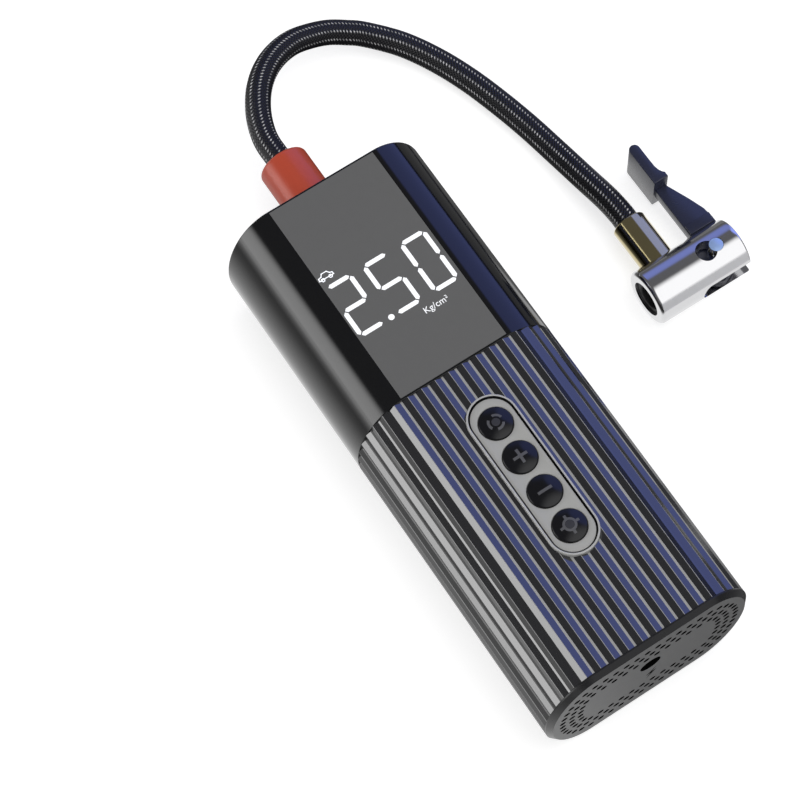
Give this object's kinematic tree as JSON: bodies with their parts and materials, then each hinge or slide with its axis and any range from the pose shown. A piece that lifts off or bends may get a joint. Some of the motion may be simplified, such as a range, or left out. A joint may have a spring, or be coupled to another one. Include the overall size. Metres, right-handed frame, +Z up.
{
  "type": "portable tire inflator",
  "caption": "Handheld cordless tire inflator lying on its back: ribbed casing with display and push buttons, braided air hose and locking lever valve chuck.",
  "frame": {"origin": "middle of the flat back of the casing, which lies on the ground; bottom centre of the box of everything but the hose and what is on it", "axes": "+X to the right of the display, +Y along the casing towards the hose end, +Z up, out of the display"},
  "size_m": [0.1319, 0.2282, 0.0495],
  "materials": {
    "gloss_black": "polished black",
    "smoked_lens": "smoked, polished",
    "rib_black": "polished black with fine ribs",
    "cap_grey": "fine matt grain",
    "ring_silver": "satin silver plated",
    "panel_grey": "satin",
    "lamp_clear": "clear, faceted behind",
    "digit_white": "lit white",
    "display_black": "matt black",
    "chassis_grey": "moulded",
    "cell_wrap": "shrink-wrapped",
    "nickel": "nickel strip",
    "copper_red": "insulated wire",
    "board_green": "solder mask",
    "lamp_board_white": "white solder mask",
    "component_black": "moulded",
    "screw_steel": "zinc plated",
    "frame_alloy": "die cast",
    "can_steel": "drawn steel",
    "bell_white": "moulded",
    "magnet_dark": "sintered",
    "bronze": "sintered bronze",
    "copper": "enamelled wire",
    "brass_turned": "turned",
    "pin_steel": "ground",
    "gear_nylon": "moulded nylon",
    "seal_black": "smooth",
    "tube_clear": "silicone",
    "collar_red": "satin red-orange",
    "braid_black": "braided sleeve",
    "chuck_chrome": "polished",
    "lever_black": "polished"
  },
  "bodies": {
    "casing": {"head_shell": "gloss_black", "display_lens": "smoked_lens", "top_cap": "gloss_black", "lamp_lens": "lamp_clear", "lamp_board": "lamp_board_white", "ribbed_sleeve": "rib_black", "bottom_cap": "cap_grey", "button_bezel": "ring_silver", "button_panel": "panel_grey", "chassis": "chassis_grey", "battery_cradle": "chassis_grey", "battery_cells": "cell_wrap", "cell_tabs": "nickel", "battery_leads": "copper_red", "main_board": "board_green", "tact_switches": "component_black", "board_components": "component_black", "charge_jack": "component_black", "display_board": "board_green", "display_module": "display_black", "display_digits": "digit_white", "board_screws": "screw_steel", "pump_frame": "frame_alloy", "frame_screws": "screw_steel", "motor_can": "can_steel", "motor_end_bell": "bell_white", "motor_magnets": "magnet_dark", "motor_bushes": "bronze", "motor_screws": "screw_steel", "gear_axle": "pin_steel", "cylinder": "frame_alloy", "valve_plate": "frame_alloy", "cylinder_head": "frame_alloy", "pressure_sensor": "component_black", "sensor_tube": "tube_clear", "hose_gland": "collar_red", "hose_fitting": "brass_turned", "hose": "braid_black", "hose_ferrule": "brass_turned", "chuck_nipple": "brass_turned", "chuck_body": "chuck_chrome", "chuck_seal": "seal_black", "lever_pin": "pin_steel"},
    "key_mode": {"button_mode": "gloss_black"},
    "key_plus": {"button_plus": "gloss_black"},
    "key_minus": {"button_minus": "gloss_black"},
    "key_light": {"button_light": "gloss_black"},
    "gear": {"drive_gear": "gear_nylon"},
    "rotor": {"motor_rotor": "can_steel", "rotor_windings": "copper", "pinion": "brass_turned"},
    "piston_unit": {"piston": "gear_nylon", "piston_ring": "seal_black", "wrist_pin": "pin_steel"},
    "rod": {"connecting_rod": "frame_alloy", "crank_pin": "pin_steel"},
    "lever": {"chuck_lever": "lever_black"},
    "plunger": {"chuck_plunger": "brass_turned", "chuck_depressor": "pin_steel"}
  },
  "joints": [
    {"name": "mode_press", "type": "slide", "parent": "casing", "child": "key_mode", "axis": [0, 0, -1], "range_m": [0, 0.0006], "stiffness_N_per_m": 500},
    {"name": "plus_press", "type": "slide", "parent": "casing", "child": "key_plus", "axis": [0, 0, -1], "range_m": [0, 0.0006], "stiffness_N_per_m": 500},
    {"name": "minus_press", "type": "slide", "parent": "casing", "child": "key_minus", "axis": [0, 0, -1], "range_m": [0, 0.0006], "stiffness_N_per_m": 500},
    {"name": "light_press", "type": "slide", "parent": "casing", "child": "key_light", "axis": [0, 0, -1], "range_m": [0, 0.0006], "stiffness_N_per_m": 500},
    {"name": "gear_spin", "type": "hinge", "parent": "casing", "child": "gear", "pos_m": [0.016, 0.0331, 0.022], "axis": [1, 0, 0], "continuous": true},
    {"name": "rotor_spin", "type": "hinge", "parent": "casing", "child": "rotor", "pos_m": [0, 0.012, 0.022], "axis": [1, 0, 0], "continuous": true},
    {"name": "piston_slide", "type": "slide", "parent": "casing", "child": "piston_unit", "axis": [0, 1, 0], "range_m": [-0.008, 0]},
    {"name": "rod_swing", "type": "hinge", "parent": "piston_unit", "child": "rod", "pos_m": [0.011, 0.0631, 0.022], "axis": [1, 0, 0], "range_deg": [-8.85, 8.85]},
    {"name": "lever_turn", "type": "hinge", "parent": "casing", "child": "lever", "pos_m": [0.0916, 0.014, 0.0088], "axis": [0, 0, -1], "range_deg": [0, 90]},
    {"name": "plunger_slide", "type": "slide", "parent": "casing", "child": "plunger", "axis": [-1, 0, 0], "range_m": [0, 0.0015]}
  ],
  "couplings": [
    {"joint": "gear_spin", "follows": "rotor_spin", "ratio": -0.25},
    {"joint": "plunger_slide", "follows": "lever_turn", "m_per_rad": 0.000954}
  ]
}
